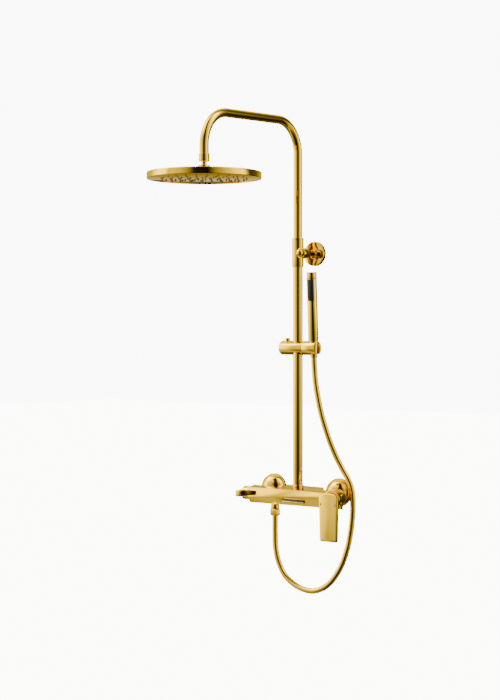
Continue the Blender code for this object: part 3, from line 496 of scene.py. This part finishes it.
def make_slider(gold):
    at = (0, RISER.y, SLIDER_Z)
    clamp = spun("slider_clamp_fine", [(0, -45), (16.5, -45), (16.5, 20), (0, 20)], at, RIGHT, edge=0.9 * MM)
    bore(clamp, 13.35, (0, RISER.y, SLIDER_Z - 30 * MM), 60)
    bore(clamp, 6.4, (-30 * MM, RISER.y, SLIDER_Z), 30)
    install(clamp, "slider", ["slider_clamp"], gold)
    button = [(0, -6), (6, -6), (6, 23.3), (0, 23.3)]
    button = spun("lock_button_fine", button, (-30 * MM, RISER.y, SLIDER_Z), edge=0.8 * MM)
    install(button, "lock", ["lock_button"], gold)
    holder = spun("holder_fine", [(0, 20.4), (16.5, 20.4), (16.5, 56.5), (0, 56.5)], at, RIGHT, edge=0.9 * MM)
    cone = [(0, -20), (8.2, -20), (11.6, 20), (0, 20)]
    cut(holder, spun("cone_tool", cone, (STICK.x, RISER.y, SLIDER_Z), edge=0))
    cut(holder, slab("slot_tool", (20, 15, 50), (STICK.x + 10 * MM, RISER.y, SLIDER_Z), 0))
    lean_stick(holder)
    install(holder, "holder", ["shower_holder"], gold)


def lean_stick(obj):
    """Lean a piece with the holder, about the slider's own line."""
    pivot = Vector((0, RISER.y, SLIDER_Z))
    turn = Matrix.Translation(pivot) @ Matrix.Rotation(STICK_TILT, 4, "X") @ Matrix.Translation(-pivot)
    obj.matrix_world = turn
    settle_in_place(obj)


def make_hand_shower(materials):
    gold = materials["polished_gold"]
    stick = [(9.6, 349.5), (11.8, 349.5), (11.8, 491), (9.6, 491)]
    cap = [(0, 496), (9.2, 496), (9.2, 491.06), (11.8, 491.06), (11.8, 507.5), (0, 507.5)]
    cone = [(5, 310.5), (8, 310.5), (8.1, 315.5), (10.8, 348.5), (10.8, 349.1), (9.2, 349.1), (9.2, 358),
            (5, 358)]
    for name, outline, node, edge in (("stick_body_fine", stick, "hand_shower_body", 0.2),
                                      ("stick_cap_fine", cap, "hand_shower_cap", 1.2),
                                      ("hose_cone_fine", cone, "hose_cone", 0.3)):
        piece = spun(name, outline, STICK, edge=edge * MM)
        lean_stick(piece)
        install(piece, "hand_shower", [node], gold)
    make_spray_panel(materials["black_rubber"])


def make_spray_panel(rubber):
    """Black spray face let into the stick, with rows of small nozzles."""
    half, facing = math.radians(41), math.radians(-75)
    panel = spun("spray_panel_fine", [(10.5, 441), (11.95, 441), (11.95, 490.5), (10.5, 490.5)], STICK,
                 (0, 0, facing - half), 24, 0.2 * MM, 2 * half)
    edit()
    for row in range(13):
        for column in range(5):
            turn = facing + math.radians(14) * (column - 2 + 0.5 * (row % 2) - 0.25)
            x, y = STICK.x + 12 * MM * math.cos(turn), STICK.y + 12 * MM * math.sin(turn)
            bpy.ops.mesh.primitive_uv_sphere_add(segments=8, ring_count=5, radius=0.75 * MM,
                                                 location=(x, y, (444.5 + 3.55 * row) * MM))
    finish_edit()
    soften(panel, 0)
    lean_stick(panel)
    install(panel, "hand_shower", ["spray_panel"], rubber)


# ---------------------------------------------------------------- hose

def smooth_route(route, per_span):
    """Points on a smooth curve through the route."""
    pts = [Vector(p) * MM for p in route]
    pts = [2 * pts[0] - pts[1]] + pts + [2 * pts[-1] - pts[-2]]
    fine = []
    for a, b, c, d in zip(pts, pts[1:], pts[2:], pts[3:]):
        for i in range(per_span):
            t = i / per_span
            fine.append(0.5 * (2 * b + (c - a) * t + (2 * a - 5 * b + 4 * c - d) * t ** 2
                               + (3 * b - a - 3 * c + d) * t ** 3))
    return fine + [pts[-2]]


def make_hose(material):
    path = smooth_route(HOSE_ROUTE, 6)
    hose = pipe_along("shower_hose_fine", path, HOSE_DIAMETER / 2, 8)
    hose.data.materials.append(material)
    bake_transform(hose)
    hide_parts("shower_hose")


# ---------------------------------------------------------------- studio

def make_floor():
    """A pale floor that the camera sees and the metal does not."""
    bpy.ops.object.select_all(action="DESELECT")
    bpy.ops.mesh.primitive_plane_add(size=40, location=(0, 0, FLOOR_Z))
    floor = bpy.context.object
    floor.name = "studio_floor"
    pale = bpy.data.materials.new("pale_floor")
    pale.use_nodes = True
    sockets = pale.node_tree.nodes["Principled BSDF"].inputs
    sockets["Base Color"].default_value = (0.92, 0.92, 0.92, 1)
    sockets["Roughness"].default_value = 0.9
    sockets["Emission Color"].default_value = (1, 1, 1, 1)
    sockets["Emission Strength"].default_value = BACKDROP
    floor.data.materials.append(pale)
    floor.visible_glossy = False
    floor.visible_diffuse = False


def ramp(nodes, stops, low, high, peak):
    """A colour ramp through (place, brightness) stops, scaled to 0..1."""
    node = nodes.new("ShaderNodeValToRGB")
    line = node.color_ramp
    while len(line.elements) < len(stops):
        line.elements.new(0.5)
    for knot, (place, level) in zip(line.elements, stops):
        knot.position = (place - low) / (high - low)
        knot.color = (level / peak, level / peak, level / peak, 1)
    return node


def math_node(nodes, operation, *values):
    node = nodes.new("ShaderNodeMath")
    node.operation = operation
    for socket, value in zip(node.inputs, values):
        socket.default_value = value
    return node


def multiplied(nodes, links, colour, other=None):
    """Two colours multiplied; the second is left to be set when it isn't a socket."""
    node = nodes.new("ShaderNodeMix")
    node.data_type = "RGBA"
    node.blend_type = "MULTIPLY"
    node.inputs["Factor"].default_value = 1
    links.new(colour, node.inputs["A"])
    if other:
        links.new(other, node.inputs["B"])
    return node


def make_panels(nodes, links):
    """Brightness of the ring of soft panels in every direction, as a background."""
    place = nodes.new("ShaderNodeTexCoord")
    split = nodes.new("ShaderNodeSeparateXYZ")
    links.new(place.outputs["Generated"], split.inputs["Vector"])
    flip = math_node(nodes, "MULTIPLY", 0, -1)
    links.new(split.outputs["Y"], flip.inputs[0])
    turn = math_node(nodes, "ARCTAN2")
    links.new(split.outputs["X"], turn.inputs[0])
    links.new(flip.outputs[0], turn.inputs[1])
    share = math_node(nodes, "MULTIPLY_ADD", 0, 0.5 / math.pi, 0.5)
    links.new(turn.outputs[0], share.inputs[0])
    round_about = ramp(nodes, STUDIO_BANDS, -180, 180, BAND_PEAK)
    links.new(share.outputs[0], round_about.inputs["Fac"])

    rise = math_node(nodes, "MULTIPLY_ADD", 0, 0.5, 0.5)
    links.new(split.outputs["Z"], rise.inputs[0])
    upward = ramp(nodes, STUDIO_HEIGHTS, -1, 1, HEIGHT_PEAK)
    links.new(rise.outputs[0], upward.inputs["Fac"])

    panels = multiplied(nodes, links, round_about.outputs["Color"], upward.outputs["Color"])
    tint = multiplied(nodes, links, panels.outputs["Result"])
    tint.inputs["B"].default_value = PANEL_TINT
    warm = nodes.new("ShaderNodeBackground")
    warm.inputs["Strength"].default_value = BAND_PEAK * HEIGHT_PEAK * PANEL_LIGHT
    links.new(tint.outputs["Result"], warm.inputs["Color"])
    return warm


def make_world():
    """White backdrop for the eye, and for the metal a ring of soft panels with a dark gap between them."""
    world = bpy.data.worlds.new("studio")
    bpy.context.scene.world = world
    world.use_nodes = True
    nodes, links = world.node_tree.nodes, world.node_tree.links
    back = nodes["Background"]
    back.inputs["Color"].default_value = (1, 1, 1, 1)
    back.inputs["Strength"].default_value = BACKDROP
    warm = make_panels(nodes, links)
    seen = nodes.new("ShaderNodeLightPath")
    either = nodes.new("ShaderNodeMixShader")
    links.new(seen.outputs["Is Camera Ray"], either.inputs["Fac"])
    links.new(warm.outputs["Background"], either.inputs[1])
    links.new(back.outputs["Background"], either.inputs[2])
    links.new(either.outputs["Shader"], nodes["World Output"].inputs["Surface"])


def make_camera():
    data = bpy.data.cameras.new("camera")
    data.sensor_width = 36
    data.lens = CAMERA_LENS
    data.shift_y = CAMERA_SHIFT
    camera = bpy.data.objects.new("camera", data)
    bpy.context.collection.objects.link(camera)
    camera.location = CAMERA_PLACE
    camera.rotation_euler = (QUARTER, 0, CAMERA_TURN)
    bpy.context.scene.camera = camera


# ---------------------------------------------------------------- build


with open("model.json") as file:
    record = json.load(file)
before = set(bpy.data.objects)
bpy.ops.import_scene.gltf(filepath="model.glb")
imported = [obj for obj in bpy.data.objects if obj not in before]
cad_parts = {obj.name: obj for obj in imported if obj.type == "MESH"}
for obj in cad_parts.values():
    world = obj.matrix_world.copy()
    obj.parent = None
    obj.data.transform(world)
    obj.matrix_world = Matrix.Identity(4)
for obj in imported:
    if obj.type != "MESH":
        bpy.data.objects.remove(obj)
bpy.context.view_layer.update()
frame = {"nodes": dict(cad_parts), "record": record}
make_camera()
materials = make_materials()
gold = materials["polished_gold"]
make_hose(materials["gold_hose"])
make_riser(gold)
make_bracket(gold)
make_covers(gold)
make_rose(materials)
make_mixer(materials)
make_knob(gold)
make_outlet(gold)
make_slider(gold)
make_hand_shower(materials)

finishes = {part["node"]: part["material_slot"] for part in frame["record"]["subparts"]}
for node, obj in frame["nodes"].items():
    obj.data.materials.clear()
    obj.data.materials.append(materials[finishes[node]])

make_floor()
make_world()
